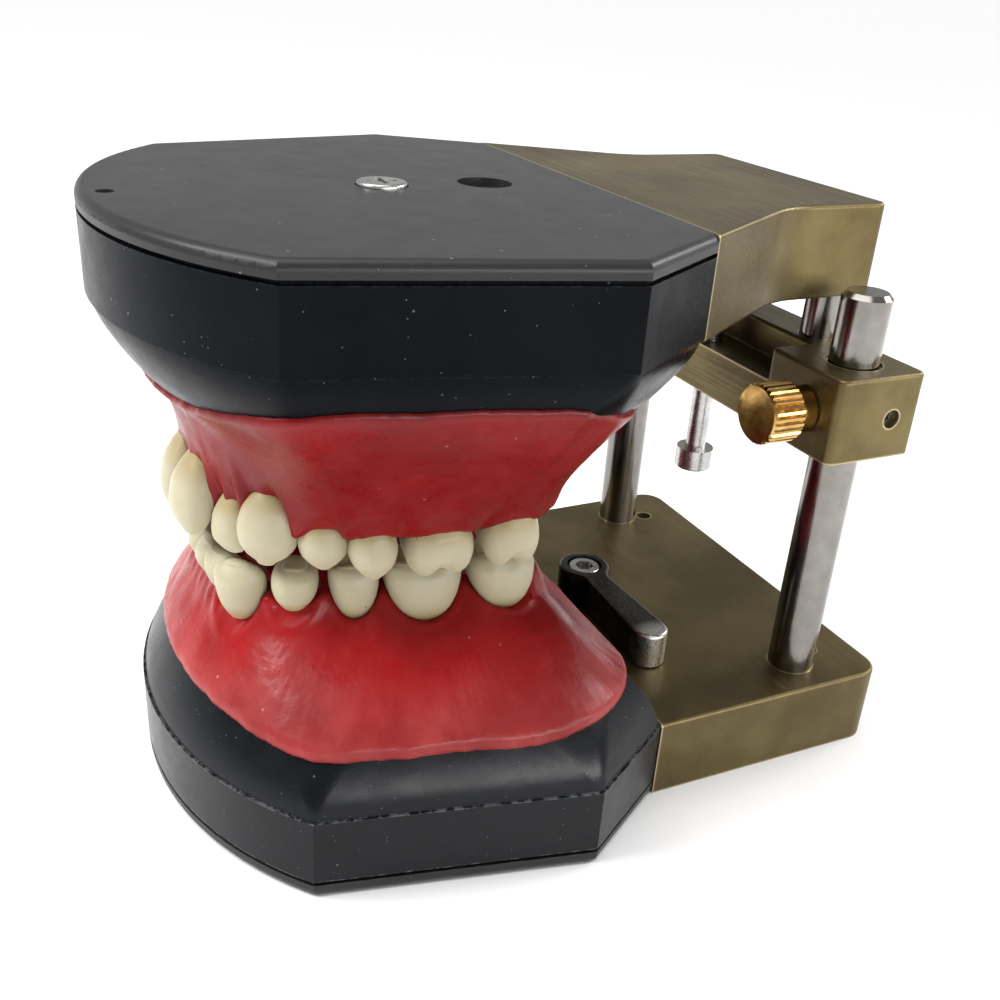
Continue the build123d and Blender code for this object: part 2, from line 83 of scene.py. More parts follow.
def add_studio():
    """White floor, a sky that is bright near the horizon and grey above, and a wide soft sun."""
    world = bpy.data.worlds.new("studio")
    world.use_nodes = True
    tree = world.node_tree
    background = tree.nodes["Background"]
    place = tree.nodes.new("ShaderNodeTexCoord")
    split = tree.nodes.new("ShaderNodeSeparateXYZ")
    fade = tree.nodes.new("ShaderNodeMapRange")
    tree.links.new(place.outputs["Generated"], split.inputs[0])
    tree.links.new(split.outputs["Z"], fade.inputs["Value"])
    fade.inputs["From Min"].default_value = 0.03
    fade.inputs["From Max"].default_value = 0.16
    fade.inputs["To Min"].default_value = 1.15
    fade.inputs["To Max"].default_value = SKY
    tree.links.new(fade.outputs["Result"], background.inputs["Strength"])
    background.inputs["Color"].default_value = (1.0, 1.0, 1.0, 1)
    bpy.context.scene.world = world
    bpy.context.scene.view_settings.view_transform = "Standard"
    sun = bpy.data.lights.new("sun", "SUN")
    sun.energy = SUN
    sun.angle = math.radians(52)
    lamp = bpy.data.objects.new("sun", sun)
    lamp.rotation_euler = Vector((0.10, 0.22, -1.0)).to_track_quat("-Z", "Y").to_euler()
    bpy.context.scene.collection.objects.link(lamp)
    area_light("strip_right", (0.575, 0.18, 0.17), (0.035, -0.02, 0.012), (0.70, 0.14), 3.4, True)
    area_light("key_left", (-0.10, -0.40, 0.42), (0.0, -0.03, 0.04), (0.25, 0.18), 2.2)
    area_light("rim_rear", (0.05, 0.45, 0.30), (0.0, 0.03, 0.05), (0.30, 0.12), 1.6)
    mesh = bpy.data.meshes.new("floor")
    reach = 60.0
    corners = [(-reach, -reach, 0), (reach, -reach, 0), (reach, reach, 0), (-reach, reach, 0)]
    mesh.from_pydata(corners, [], [(0, 1, 2, 3)])
    floor = bpy.data.objects.new("floor", mesh)
    bpy.context.scene.collection.objects.link(floor)
    paint = bpy.data.materials.new("floor_white")
    paint.use_nodes = True
    shader = paint.node_tree.nodes["Principled BSDF"]
    shader.inputs["Base Color"].default_value = (0.95, 0.95, 0.95, 1)
    shader.inputs["Roughness"].default_value = 0.7
    mesh.materials.append(paint)


# ---------------------------------------------------------------- material building blocks
class Paint:
    """A material under construction: each method adds one node and returns its output."""

    def __init__(self, name):
        self.material = bpy.data.materials.new(name)
        self.material.use_nodes = True
        self.tree = self.material.node_tree
        self.shader = self.tree.nodes["Principled BSDF"]
        self.place = self.add("ShaderNodeTexCoord").outputs["Object"]

    def add(self, kind, **values):
        node = self.tree.nodes.new(kind)
        for key, value in values.items():
            setattr(node, key, value)
        return node

    def link(self, source, target):
        if isinstance(source, (int, float)):
            target.default_value = source
        elif isinstance(source, tuple):
            target.default_value = (*source, 1) if target.type == "RGBA" else source
        else:
            self.tree.links.new(source, target)

    def set(self, **values):
        for name, value in values.items():
            self.link(value, self.shader.inputs[name.replace("_", " ")])

    def stretched(self, scale, turn=(0, 0, 0)):
        node = self.add("ShaderNodeMapping")
        node.inputs["Scale"].default_value = scale
        node.inputs["Rotation"].default_value = turn
        self.link(self.place, node.inputs["Vector"])
        return node.outputs["Vector"]

    def noise(self, scale, detail=3.0, rough=0.5, vector=None):
        node = self.add("ShaderNodeTexNoise")
        node.inputs["Scale"].default_value = scale
        node.inputs["Detail"].default_value = detail
        node.inputs["Roughness"].default_value = rough
        self.link(vector or self.place, node.inputs["Vector"])
        return node.outputs["Fac"]

    def cells(self, scale, vector=None, feature="F1"):
        node = self.add("ShaderNodeTexVoronoi", feature=feature)
        node.inputs["Scale"].default_value = scale
        self.link(vector or self.place, node.inputs["Vector"])
        return node.outputs["Distance"], node.outputs["Color"]

    def band(self, value, low, high, to_low=0.0, to_high=1.0):
        node = self.add("ShaderNodeMapRange", interpolation_type="SMOOTHSTEP")
        self.link(value, node.inputs["Value"])
        node.inputs["From Min"].default_value = low
        node.inputs["From Max"].default_value = high
        node.inputs["To Min"].default_value = to_low
        node.inputs["To Max"].default_value = to_high
        return node.outputs["Result"]

    def math(self, operation, first, second=0.0):
        node = self.add("ShaderNodeMath", operation=operation)
        self.link(first, node.inputs[0])
        self.link(second, node.inputs[1])
        return node.outputs[0]

    def mix(self, share, first, second):
        node = self.add("ShaderNodeMix", data_type="RGBA")
        self.link(share, node.inputs["Factor"])
        self.link(first, node.inputs["A"])
        self.link(second, node.inputs["B"])
        return node.outputs["Result"]

    def bump(self, height, strength, distance, under=None):
        node = self.add("ShaderNodeBump")
        node.inputs["Strength"].default_value = strength
        node.inputs["Distance"].default_value = distance
        self.link(height, node.inputs["Height"])
        if under is not None:
            self.link(under, node.inputs["Normal"])
        return node.outputs["Normal"]

    def edges(self, radius, low=0.02, high=0.25):
        """1 on sharp edges, 0 on flat faces."""
        bevel = self.add("ShaderNodeBevel", samples=6)
        bevel.inputs["Radius"].default_value = radius
        flat = self.add("ShaderNodeNewGeometry").outputs["Normal"]
        dot = self.add("ShaderNodeVectorMath", operation="DOT_PRODUCT")
        self.link(bevel.outputs["Normal"], dot.inputs[0])
        self.link(flat, dot.inputs[1])
        return self.band(self.math("SUBTRACT", 1.0, dot.outputs["Value"]), low, high)

    def height(self):
        """Z of the place on the model, in metres."""
        node = self.add("ShaderNodeSeparateXYZ")
        self.link(self.place, node.inputs[0])
        return node.outputs["Z"]

    def specks(self, scale, size, share):
        """Scattered small dots: the share of cells that hold one, and their size in cells."""
        distance, colour = self.cells(scale)
        chosen = self.add("ShaderNodeSeparateColor")
        self.link(colour, chosen.inputs[0])
        dots = self.band(distance, size, size * 0.6)
        return self.math("MULTIPLY", dots, self.math("LESS_THAN", chosen.outputs[0], share))


# ---------------------------------------------------------------- materials
LEVER_PIVOT = (-0.0025, 0.0189)
TIP_DEPTH = 0.0025


def lever_tip():
    """Place of the lock lever's rounded end: its point farthest from the pivot, just under the top."""
    points = np.array([v.co for v in frame["nodes"]["lock_lever"].data.vertices])
    pivot = np.array(LEVER_PIVOT)
    far = points[np.argmax(np.hypot(*(points[:, :2] - pivot).T))]
    return (float(far[0]), float(far[1]), float(points[:, 2].max()) - TIP_DEPTH)


def black_plastic(name, dark, light, rough_low, rough_high, scuff, shine, high_share):
    """Moulded black plastic with a fine grain, dust, hairline scratches and scuffed edges."""
    p = Paint(name)
    clouds = p.noise(60, 4, 0.6)
    colour = p.mix(p.band(clouds, 0.35, 0.7), dark, light)
    dust = p.math("MAXIMUM", p.specks(560, 0.11, 0.14), p.specks(1500, 0.15, 0.09))
    colour = p.mix(p.math("MULTIPLY", dust, 0.45), colour, (0.26, 0.27, 0.27))
    ragged = p.band(p.noise(900, 3, 0.7), 0.42, 0.62)
    worn = p.math("MULTIPLY", p.edges(0.0004), ragged)
    worn = p.math("MULTIPLY", worn, p.band(p.height(), 0.034, 0.026, 0.12, 1.0))
    colour = p.mix(p.math("MULTIPLY", worn, scuff), colour, (0.34, 0.35, 0.36))
    hair = p.noise(55, 2, 0.5, p.stretched((22, 1, 22), (0.3, 0.5, 0.8)))
    scratch = p.band(hair, 0.66, 0.70)
    rough = p.band(p.noise(260, 3, 0.6), 0.3, 0.7, rough_low, rough_high)
    grain = p.noise(5200, 2, 0.6)
    normal = p.bump(grain, 0.10, 0.0001)
    normal = p.bump(scratch, 0.15, 0.00005, normal)
    normal = p.bump(dust, 0.5, 0.00015, normal)
    p.set(Base_Color=colour, Roughness=rough, Normal=normal)
    p.set(Specular_IOR_Level=p.band(p.height(), 0.030, 0.050, shine, shine * high_share))
    return p.material


def red_wax():
    """Modelling wax: soft sheen, cloudy red, tool marks, pale crumbs, a painted highlight low down and
    painted shade on the upper jaw's wax.
    """
    p = Paint("red_wax")
    clouds = p.noise(70, 4, 0.55)
    colour = p.mix(p.band(clouds, 0.3, 0.72), (0.235, 0.0060, 0.0070), (0.37, 0.0105, 0.0120))
    pale = p.specks(520, 0.12, 0.10)
    colour = p.mix(p.math("MULTIPLY", pale, 0.5), colour, (0.75, 0.30, 0.28))
    smear = p.band(p.noise(180, 5, 0.7), 0.55, 0.8)
    colour = p.mix(p.math("MULTIPLY", smear, 0.18), colour, (0.44, 0.05, 0.05))
    # Painted highlight: the lowest wax is mixed towards a pale pink, broken up by noise, standing in for the
    # sheen where the wax flattens near the tray.
    low_down = p.band(p.height(), 0.0245, 0.0190)
    painted_low_highlight = p.math("MULTIPLY", low_down, p.band(p.noise(140, 4, 0.6), 0.35, 0.70, 0.3, 1.0))
    colour = p.mix(p.math("MULTIPLY", painted_low_highlight, 0.30), colour, (0.62, 0.17, 0.16))
    # Painted shade: wax above about 36 mm, on the upper jaw, is darkened towards a deep red to stand in for
    # the shade under the upper tray.
    colour = p.mix(p.band(p.height(), 0.036, 0.044, 0.0, 0.42), colour, (0.075, 0.004, 0.006))
    rough = p.band(p.noise(350, 3, 0.6), 0.3, 0.7, 0.26, 0.42)
    normal = p.bump(p.noise(420, 3, 0.55), 0.14, 0.0005)
    normal = p.bump(p.noise(2600, 2, 0.5), 0.10, 0.0002, normal)
    normal = p.bump(pale, 0.4, 0.0002, normal)
    p.set(Base_Color=colour, Roughness=rough, Normal=normal)
    p.set(Subsurface_Weight=0.22, Subsurface_Scale=0.0012, Subsurface_Radius=(1.0, 0.22, 0.16))
    p.set(Specular_IOR_Level=0.20)
    return p.material


def ivory_resin():
    """Cast tooth resin: creamy, yellower at the neck, glossy, with pinholes."""
    p = Paint("ivory_resin")
    neck = p.add("ShaderNodeAttribute", attribute_name="neck").outputs["Fac"]
    body = p.mix(p.band(neck, 0.15, 0.95), (0.53, 0.49, 0.34), (0.43, 0.35, 0.175))
    clouds = p.noise(380, 3, 0.5)
    body = p.mix(p.band(clouds, 0.35, 0.75, 0.0, 0.35), body, (0.46, 0.41, 0.24))
    holes = p.specks(700, 0.13, 0.07)
    colour = p.mix(p.math("MULTIPLY", holes, 0.75), body, (0.10, 0.06, 0.03))
    normal = p.bump(p.noise(900, 2, 0.5), 0.06, 0.0004)
    normal = p.bump(holes, -0.3, 0.0001, normal)
    p.set(Base_Color=colour, Roughness=p.band(clouds, 0.3, 0.7, 0.34, 0.44), Normal=normal)
    p.set(Subsurface_Weight=0.2, Subsurface_Scale=0.0008, Subsurface_Radius=(0.9, 0.8, 0.5))
    p.set(Specular_IOR_Level=0.30)
    return p.material


def antique_brass():
    """Milled brass that has darkened: fine milling lines, patina clouds, bright worn edges."""
    p = Paint("antique_brass")
    clouds = p.noise(55, 5, 0.6)
    colour = p.mix(p.band(clouds, 0.32, 0.72), (0.088, 0.063, 0.024), (0.165, 0.128, 0.052))
    blotch = p.band(p.noise(150, 4, 0.65), 0.56, 0.75)
    colour = p.mix(p.math("MULTIPLY", blotch, 0.4), colour, (0.10, 0.075, 0.04))
    worn = p.edges(0.0006, 0.015, 0.12)
    colour = p.mix(p.math("MULTIPLY", worn, 0.8), colour, (0.62, 0.52, 0.30))
    lines = p.noise(260, 2, 0.6, p.stretched((0.25, 14, 14)))
    rough = p.band(lines, 0.3, 0.7, 0.36, 0.50)
    normal = p.bump(lines, 0.10, 0.0001)
    normal = p.bump(p.noise(2400, 2, 0.5), 0.06, 0.0001, normal)
    p.set(Base_Color=colour, Metallic=0.85, Roughness=rough, Normal=normal)
    return p.material


def bright_brass():
    """Freshly turned brass of the thumb screws."""
    p = Paint("bright_brass")
    clouds = p.noise(400, 4, 0.6)
    colour = p.mix(p.band(clouds, 0.35, 0.75), (0.45, 0.26, 0.08), (0.66, 0.43, 0.16))
    rough = p.band(p.noise(1200, 3, 0.5), 0.3, 0.7, 0.08, 0.16)
    p.set(Base_Color=colour, Metallic=1.0, Roughness=rough)
    p.set(Normal=p.bump(p.noise(900, 2, 0.5), 0.02, 0.0001))
    return p.material


def steel(name, dark, light, rough_low, rough_high, stretch, bare=None):
    """Ground or turned steel: faint lines along or round the piece, and bare metal round one place."""
    p = Paint(name)
    lines = p.noise(900, 3, 0.6, p.stretched(stretch))
    colour = p.mix(p.band(p.noise(300, 4, 0.6), 0.3, 0.75), dark, light)
    if bare is not None:
        away = p.add("ShaderNodeVectorMath", operation="DISTANCE")
        p.link(p.place, away.inputs[0])
        p.link(bare, away.inputs[1])
        rubbed = p.band(away.outputs["Value"], 0.0052, 0.0026)
        colour = p.mix(rubbed, colour, (0.58, 0.57, 0.55))
    p.set(Base_Color=colour, Metallic=1.0, Roughness=p.band(lines, 0.3, 0.7, rough_low, rough_high))
    p.set(Normal=p.bump(lines, 0.06, 0.0001))
    return p.material


def make_materials():
    return {
        "tray_plastic": black_plastic(
            "tray_plastic", (0.0022, 0.0030, 0.0045), (0.0045, 0.0056, 0.0078), 0.24, 0.32, 0.55, 0.20, 0.25
        ),
        "lid_plastic": black_plastic(
            "lid_plastic", (0.0205, 0.0210, 0.0205), (0.0245, 0.0250, 0.0240), 0.34, 0.38, 0.10, 0.24, 1.0
        ),
        "wax": red_wax(),
        "tooth_resin": ivory_resin(),
        "antique_brass": antique_brass(),
        "bright_brass": bright_brass(),
        "polished_steel": steel(
            "polished_steel", (0.205, 0.193, 0.178), (0.26, 0.246, 0.228), 0.15, 0.24, (5, 5, 0.4)
        ),
        "lever_steel": steel(
            "lever_steel", (0.035, 0.034, 0.032), (0.065, 0.062, 0.058), 0.24, 0.36, (4, 4, 4), lever_tip()
        ),
        "screw_steel": steel(
            "screw_steel", (0.40, 0.39, 0.38), (0.58, 0.57, 0.56), 0.22, 0.38, (6, 6, 6)
        ),
    }


# ---------------------------------------------------------------- teeth
# outline of each crown: share of the height from gum (0) to tip (1), half width, buccal half depth,
# lingual half depth, all as shares of the half width and half depth
PROFILES = {
    "upper_central_incisor": [
        (-0.7, .30, .30, .30), (-.25, .40, .42, .45), (0, .52, .60, .60), (.18, .76, .82, .75),
        (.42, .96, 1.0, .80), (.66, 1.0, .94, .62), (.84, .92, .72, .40), (.95, .70, .45, .22),
        (1, .42, .25, .12),
    ],
    "upper_lateral_incisor": [
        (-0.7, .34, .34, .34), (-.25, .46, .48, .50), (0, .60, .66, .66), (.18, .80, .86, .76),
        (.42, .96, 1.0, .78), (.66, 1.0, .92, .60), (.86, .96, .70, .38), (.96, .82, .45, .22),
        (1, .60, .28, .14),
    ],
    "upper_canine": [
        (-0.7, .26, .30, .30), (-.25, .34, .42, .45), (0, .44, .58, .60), (.14, .68, .80, .78),
        (.32, .90, .97, .88), (.54, 1.0, 1.0, .82), (.74, .93, .84, .62), (.90, .66, .52, .36),
        (1, .30, .22, .16),
    ],
    "upper_first_premolar": [
        (-0.7, .34, .40, .40), (-.25, .50, .58, .60), (0, .66, .78, .80), (.22, .90, .96, .95),
        (.46, 1.0, 1.0, 1.0), (.68, .92, .90, .94), (.86, .68, .68, .80), (1, .40, .44, .55),
    ],
    "upper_second_premolar": [
        (-0.7, .34, .40, .40), (-.25, .50, .58, .60), (0, .66, .78, .80), (.24, .92, .96, .95),
        (.46, 1.0, 1.0, 1.0), (.68, .92, .90, .94), (.86, .68, .68, .80), (1, .40, .44, .55),
    ],
    "upper_first_molar": [
        (-0.7, .40, .44, .44), (-.25, .58, .62, .64), (0, .74, .82, .84), (.24, .92, .98, .96),
        (.50, 1.0, 1.0, 1.0), (.74, .95, .90, .94), (.90, .82, .74, .82), (1, .62, .54, .62),
    ],
    "upper_second_molar": [
        (-0.7, .40, .44, .44), (-.25, .56, .62, .64), (0, .72, .82, .84), (.24, .92, .98, .96),
        (.50, 1.0, 1.0, 1.0), (.74, .93, .90, .94), (.90, .78, .74, .82), (1, .58, .54, .62),
    ],
    "lower_central_incisor": [
        (-0.7, .34, .34, .34), (-.25, .42, .48, .50), (0, .54, .70, .70), (.3, .80, .92, .88),
        (.6, .96, 1.0, .78), (.84, 1.0, .80, .46), (.95, .95, .52, .28), (1, .80, .34, .18),
    ],
    "lower_lateral_incisor": [
        (-0.7, .34, .34, .34), (-.25, .42, .48, .50), (0, .54, .70, .70), (.3, .80, .92, .88),
        (.6, .96, 1.0, .78), (.84, 1.0, .80, .46), (.95, .95, .52, .28), (1, .80, .34, .18),
    ],
    "lower_canine": [
        (-0.7, .26, .30, .30), (-.25, .40, .46, .48), (0, .54, .66, .68), (.14, .72, .82, .82),
        (.36, .90, .97, .90), (.62, .98, 1.0, .82), (.80, 1.0, .86, .60), (.92, .86, .58, .38),
        (1, .46, .28, .20),
    ],
    "lower_first_premolar": [
        (-0.7, .30, .36, .36), (-.25, .40, .50, .54), (0, .50, .68, .70), (.14, .70, .84, .82),
        (.34, .92, .98, .94), (.56, 1.0, 1.0, .98), (.78, .95, .88, .92), (.92, .76, .66, .76),
        (1, .50, .44, .54),
    ],
    "lower_second_premolar": [
        (-0.7, .30, .36, .36), (-.25, .42, .52, .56), (0, .52, .70, .72), (.14, .70, .84, .84),
        (.36, .88, .98, .94), (.62, .98, 1.0, 1.0), (.82, 1.0, .90, .95), (.94, .90, .74, .82),
        (1, .70, .56, .64),
    ],
    "lower_first_molar": [
        (-0.7, .38, .40, .40), (-.25, .42, .52, .58), (0, .46, .70, .76), (.10, .60, .82, .84),
        (.28, .80, .96, .94), (.52, .94, 1.0, 1.0), (.76, 1.0, .94, .98), (.92, .95, .80, .88),
        (1, .80, .66, .74),
    ],
    "lower_second_molar": [
        (-0.7, .38, .40, .40), (-.25, .42, .52, .58), (0, .46, .70, .76), (.10, .60, .82, .84),
        (.28, .82, .96, .94), (.52, .97, 1.0, 1.0), (.74, 1.0, .94, .98), (.90, .92, .80, .88),
        (1, .74, .66, .74),
    ],
}
# notch between mesial and distal cusps, valley between buccal and lingual cusps, corner squareness
CUSPS = {
    "incisor": (0.0, 0.0, 2.3),
    "canine": (0.0, 0.0, 2.1),
    "premolar": (0.0, 1.0, 2.3),
    "molar": (1.2, 1.1, 2.7),
}
# how much lower the lingual half of a biting face ends, mm
SLANT = {"upper_second_premolar": 1.4, "upper_first_molar": 1.5, "upper_second_molar": 1.5}
AROUND, UP, CAP = 64, 44, 12


def smooth_profile(kind, t):
    """Half width and half depths at heights t, through the profile's points without corners."""
    rows = np.array(PROFILES[kind])
    # monotone piecewise cubic (Fritsch-Carlson)
    x = rows[:, 0]
    out = []
    for column in (1, 2, 3):
        y = rows[:, column]
        h = np.diff(x)
        slope = np.diff(y) / h
        m = np.zeros_like(x)
        product, total = slope[1:] * slope[:-1], slope[1:] + slope[:-1] + 1e-12
        m[1:-1] = np.where(product > 0, 2 * product / total, 0)
        m[0], m[-1] = slope[0], slope[-1]
        i = np.clip(np.searchsorted(x, t, side="right") - 1, 0, len(x) - 2)
        s = (t - x[i]) / h[i]
        y0, y1, m0, m1 = y[i], y[i + 1], m[i] * h[i], m[i + 1] * h[i]
        out.append((2*s**3-3*s**2+1)*y0 + (s**3-2*s**2+s)*m0 + (-2*s**3+3*s**2)*y1 + (s**3-s**2)*m1)
    return out


def crown(kind, width, depth, tall):
    """Crown with its tip at z = 0 and gum line at z = -tall (tip up); returns vertices, faces, neck share."""
    family = kind.split("_")[-1]
    notch, valley, square = CUSPS[family]
    if kind.startswith("lower") and family == "molar":
        notch, valley = 0.5, 0.9
    if kind == "lower_first_premolar":
        valley = 0.3
    phi = np.linspace(0, 2 * math.pi, AROUND, endpoint=False)
    c, s = np.cos(phi), np.sin(phi)
    round_x = np.sign(c) * np.abs(c) ** (2 / square)
    round_y = np.sign(s) * np.abs(s) ** (2 / square)
    t = np.concatenate([np.linspace(-0.7, 0, 10, endpoint=False), np.linspace(0, 1, UP)])
    # closer rings near the tip
    t = np.where(t > 0, np.abs(t) ** 0.85, t)
    a, b_out, b_in = smooth_profile(kind, t)
    rows = []
    for i in range(len(t)):
        x = a[i] * width / 2 * round_x
        y = np.where(s < 0, b_out[i], b_in[i]) * depth / 2 * round_y
        z = np.full_like(x, (t[i] - 1) * tall)
        rows.append(np.stack([x, y, z], 1))
    last = rows[-1]
    dome = 0.05 * tall
    for k in range(1, CAP + 1):
        q = k / CAP
        shrink = math.cos(q * math.pi / 2)
        ring = last.copy()
        ring[:, :2] *= shrink
        ring[:, 2] += dome * math.sin(q * math.pi / 2)
        if k == CAP:
            ring = ring[:1] * np.array([[0, 0, 1]])
        rows.append(ring)
    v = np.concatenate(rows)
    v[:, 2] -= dome
    # cusps: carve a notch across and a valley along the biting face
    x = v[:, 0] / (width / 2)
    y = v[:, 1] / (depth / 2)
    rise = np.clip((v[:, 2] / tall + 0.55) / 0.5, 0, 1)
    rise = rise * rise * (3 - 2 * rise)
    slant = SLANT.get(kind, 0.0)
    inside = np.clip((y + 0.35) / 0.7, 0, 1)
    v[:, 2] -= rise * slant * inside * inside * (3 - 2 * inside)
    across = np.exp(-(x / 0.30) ** 2)
    along = np.exp(-(y / 0.30) ** 2)
    v[:, 2] -= rise * (notch * across + valley * along * np.exp(-(x / 0.9) ** 4) * (1 - 0.35 * across))
    # buccal and lingual grooves below the notch
    if notch:
        v[:, 1] -= np.sign(v[:, 1]) * 0.35 * notch * np.exp(-(x / 0.22) ** 2) * rise * np.abs(y)
    count = len(rows) - 1
    faces = []
    for i in range(count - 1):
        for j in range(AROUND):
            k = (j + 1) % AROUND
            faces.append((i * AROUND + j, i * AROUND + k, (i + 1) * AROUND + k, (i + 1) * AROUND + j))
    tip = count * AROUND
    for j in range(AROUND):
        faces.append(((count - 1) * AROUND + j, (count - 1) * AROUND + (j + 1) % AROUND, tip))
    faces.append(tuple(range(AROUND - 1, -1, -1)))
    neck = np.clip(1 - (v[:, 2] + tall) / (0.45 * tall), 0, 1)
    return v, faces, neck


def placed(kind, x, y, width, depth, turn, lean, gum_z, tip_z):
    """Vertices of one left tooth in the model's frame, mm."""
    way = 1 if tip_z > gum_z else -1
    v, faces, neck = crown(kind, width, depth, abs(tip_z - gum_z))
    v = v.copy()
    v[:, 2] *= way
    r = math.radians(way * lean)
    y0, z0 = v[:, 1].copy(), v[:, 2].copy()
    v[:, 1] = math.cos(r) * y0 - math.sin(r) * z0
    v[:, 2] = math.sin(r) * y0 + math.cos(r) * z0
    r = math.radians(turn)
    x0, y0 = v[:, 0].copy(), v[:, 1].copy()
    v[:, 0] = math.cos(r) * x0 - math.sin(r) * y0
    v[:, 1] = math.sin(r) * x0 + math.cos(r) * y0
    inward = (-math.sin(r), math.cos(r))
    v += np.array([x + inward[0] * depth / 2, y + inward[1] * depth / 2, tip_z])
    return v, faces, neck


# buccal x and y at the biting edge, width, depth, turn and lean in degrees, gum and tip height, all in mm
UPPER_TEETH = {
    "central_incisor": (4.15, -44.8, 7.7, 6.0, 10, 15, 45.8, 35.98),
    "lateral_incisor": (9.9, -40.2, 5.4, 4.4, 24, 12, 42.1, 35.6),
    "canine": (16.4, -36.9, 7.4, 5.8, 52, 14, 44.6, 35.7),
    "first_premolar": (19.38, -29.6, 6.05, 6.8, 76, 5, 41.6, 35.3),
    "second_premolar": (22.3, -24.1, 5.8, 7.2, 84, 4, 41.3, 34.5),
    "first_molar": (23.5, -16.3, 8.4, 9.0, 84, 0, 41.3, 34.1),
    "second_molar": (24.4, -7.4, 7.1, 8.8, 86, 0, 42.0, 34.3),
}
LOWER_TEETH = {
    "central_incisor": (2.4, -41.4, 4.6, 5.0, 6, 12, 29.5, 33.9),
    "lateral_incisor": (7.1, -40.9, 4.6, 5.0, 22, 12, 29.3, 34.3),
    "canine": (12.3, -39.4, 6.4, 5.8, 48, 10, 27.2, 34.7),
    "first_premolar": (16.1, -32.8, 5.6, 6.6, 66, 5, 29.4, 34.9),
    "second_premolar": (17.7, -25.1, 6.2, 7.0, 80, 4, 27.4, 35.0),
    "first_molar": (19.7, -16.6, 9.7, 8.4, 84, 0, 26.8, 35.0),
    "second_molar": (20.9, -6.4, 8.5, 8.2, 86, 0, 27.2, 35.0),
}


def new_object(name, vertices, faces, material, body, stands_for):
    """Smooth mesh object in metres from vertices in mm, riding on a body in place of CAD nodes."""
    mesh = bpy.data.meshes.new(name)
    mesh.from_pydata([tuple(v) for v in np.asarray(vertices) * MM], [], faces)
    mesh.polygons.foreach_set("use_smooth", [True] * len(mesh.polygons))
    mesh.materials.append(material)
    mesh.update()
    made = bpy.data.objects.new(name, mesh)
    bpy.context.scene.collection.objects.link(made)
    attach(made, body)
    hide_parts(stands_for)
    return made


def add_teeth(jaw, table, body, material):
    for kind, form in table.items():
        vertices, faces, neck = placed(jaw + "_" + kind, *form)
        for side, way in (("left", 1), ("right", -1)):
            shape = vertices * np.array([way, 1, 1])
            turned = faces if way == 1 else [tuple(reversed(face)) for face in faces]
            if jaw == "upper":
                turned = [tuple(reversed(face)) for face in turned]
            node = f"{jaw}_{side}_{kind}"
            made = new_object("tooth_" + node, shape, turned, material, body, node)
            shade = made.data.attributes.new("neck", "FLOAT", "POINT")
            shade.data.foreach_set("value", neck)


# ---------------------------------------------------------------- wax
AROUND_WAX = 640
CREST_DEPTH = 9.0
CREST_STEP = 3.0
WAX_CENTRE = (0.0, -14.0)


def ease(low, high, value):
    t = np.clip((value - low) / (high - low), 0, 1)
    return t * t * (3 - 2 * t)


def lumps(points, scale, seed):
    """Smooth noise of the points, from about -1 to 1."""
    shift = Vector((seed * 17.3, seed * 5.1, seed * 9.7))
    return np.array([noise.noise(Vector(p) * scale + shift) for p in points])


def gum_ring(jaw, table):
    """Closed plan of the gum line as a polygon, with the gum height at each corner."""
    papilla = PAPILLA[jaw]
    right = []
    rows = list(table.items())
    for i, (kind, form) in enumerate(rows):
        x, y, width, depth, turn, lean, gum_z, tip_z = form
        rows_profile = PROFILES[jaw + "_" + kind]
        neck = [row for row in rows_profile if row[0] == 0][0]
        tall = abs(tip_z - gum_z)
        inset = depth / 2 * (1 - neck[2]) + tall * math.sin(math.radians(lean)) - GUM_OUT
        inward = (-math.sin(math.radians(turn)), math.cos(math.radians(turn)))
        along = (math.cos(math.radians(turn)), math.sin(math.radians(turn)))
        middle = (x + inward[0] * inset, y + inward[1] * inset)
        for share, drop in ((-0.27, 0.25), (0.0, 0.0), (0.27, 0.25)):
            z = gum_z + (papilla - gum_z) * drop
            push = (1.5 if i < 3 else 0.35) * abs(share) / 0.27
            right.append((
                middle[0] + along[0] * share * width + inward[0] * push,
                middle[1] + along[1] * share * width + inward[1] * push, z))
        if i + 1 < len(rows):
            nx, ny, nw, nd, nt, nl, ng, ntip = rows[i + 1][1]
            edge = (
                x + along[0] * width / 2 + inward[0] * depth / 2,
                y + along[1] * width / 2 + inward[1] * depth / 2)
            na = (math.cos(math.radians(nt)), math.sin(math.radians(nt)))
            ni = (-math.sin(math.radians(nt)), math.cos(math.radians(nt)))
            other = (nx - na[0] * nw / 2 + ni[0] * nd / 2, ny - na[1] * nw / 2 + ni[1] * nd / 2)
            out = depth * (-0.10 if i < 2 else 0.16)
            right.append((
                (edge[0] + other[0]) / 2 - inward[0] * out,
                (edge[1] + other[1]) / 2 - inward[1] * out, papilla))
    right += REAR_OF_GUM[jaw]
    left = [(-x, y, z) for x, y, z in reversed(right)]
    start = [(0.0, right[0][1] + 0.9, papilla)]
    return np.array(start + right + left)


def ring_at(polygon, angles):
    """Radius and height where rays from the wax's centre cross a closed polygon."""
    cx, cy = WAX_CENTRE
    theta = np.arctan2(polygon[:, 1] - cy, polygon[:, 0] - cx)
    radius = np.hypot(polygon[:, 0] - cx, polygon[:, 1] - cy)
    order = np.argsort(theta)
    theta, radius, z = theta[order], radius[order], polygon[order, 2]
    theta = np.concatenate([theta - 2 * math.pi, theta, theta + 2 * math.pi])
    radius = np.tile(radius, 3)
    z = np.tile(z, 3)
    wrapped = (angles + math.pi) % (2 * math.pi) - math.pi
    return soften(np.interp(wrapped, theta, radius), 3), soften(np.interp(wrapped, theta, z), 2)


def soften(values, times):
    for _ in range(times):
        values = (np.roll(values, 1) + 2 * values + np.roll(values, -1)) / 4
    return values


